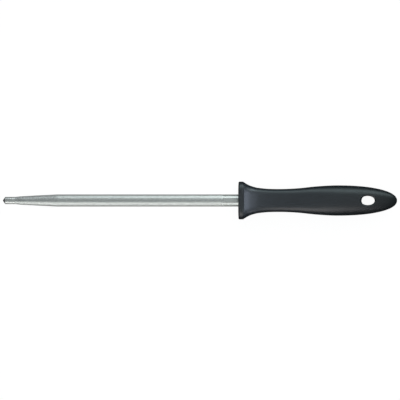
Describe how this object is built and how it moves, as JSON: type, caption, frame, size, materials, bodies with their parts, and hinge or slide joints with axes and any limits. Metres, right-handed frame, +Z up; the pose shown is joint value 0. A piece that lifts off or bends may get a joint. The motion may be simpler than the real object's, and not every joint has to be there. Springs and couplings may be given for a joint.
{
  "type": "knife sharpening steel",
  "caption": "Ridged, tapered steel rod for honing knives, in a flared guard and a dark moulded grip with an oval hanging hole at the tail.",
  "frame": {"origin": "where the rod's axis leaves the guard's front face", "axes": "rod along -X to its point, handle along +X to its tail, +Y across the handle's width, +Z up through the hanging hole"},
  "size_m": [0.335, 0.0322, 0.0268],
  "materials": {
    "rod_steel": "chromed tool steel with fine ridges along its length",
    "guard_plastic": "moulded, satin",
    "core_plastic": "moulded, glass filled",
    "pin_steel": "ground",
    "liner_plastic": "moulded, satin",
    "grip_soft": "overmoulded elastomer, fine matt texture"
  },
  "bodies": {
    "root": {"sharpening_rod": "rod_steel", "guard_plate": "guard_plastic", "core_upper_half": "core_plastic", "core_lower_half": "core_plastic", "tang_pin_front": "pin_steel", "tang_pin_rear": "pin_steel", "hang_hole_liner": "liner_plastic", "grip_skin": "grip_soft"}
  },
  "joints": []
}
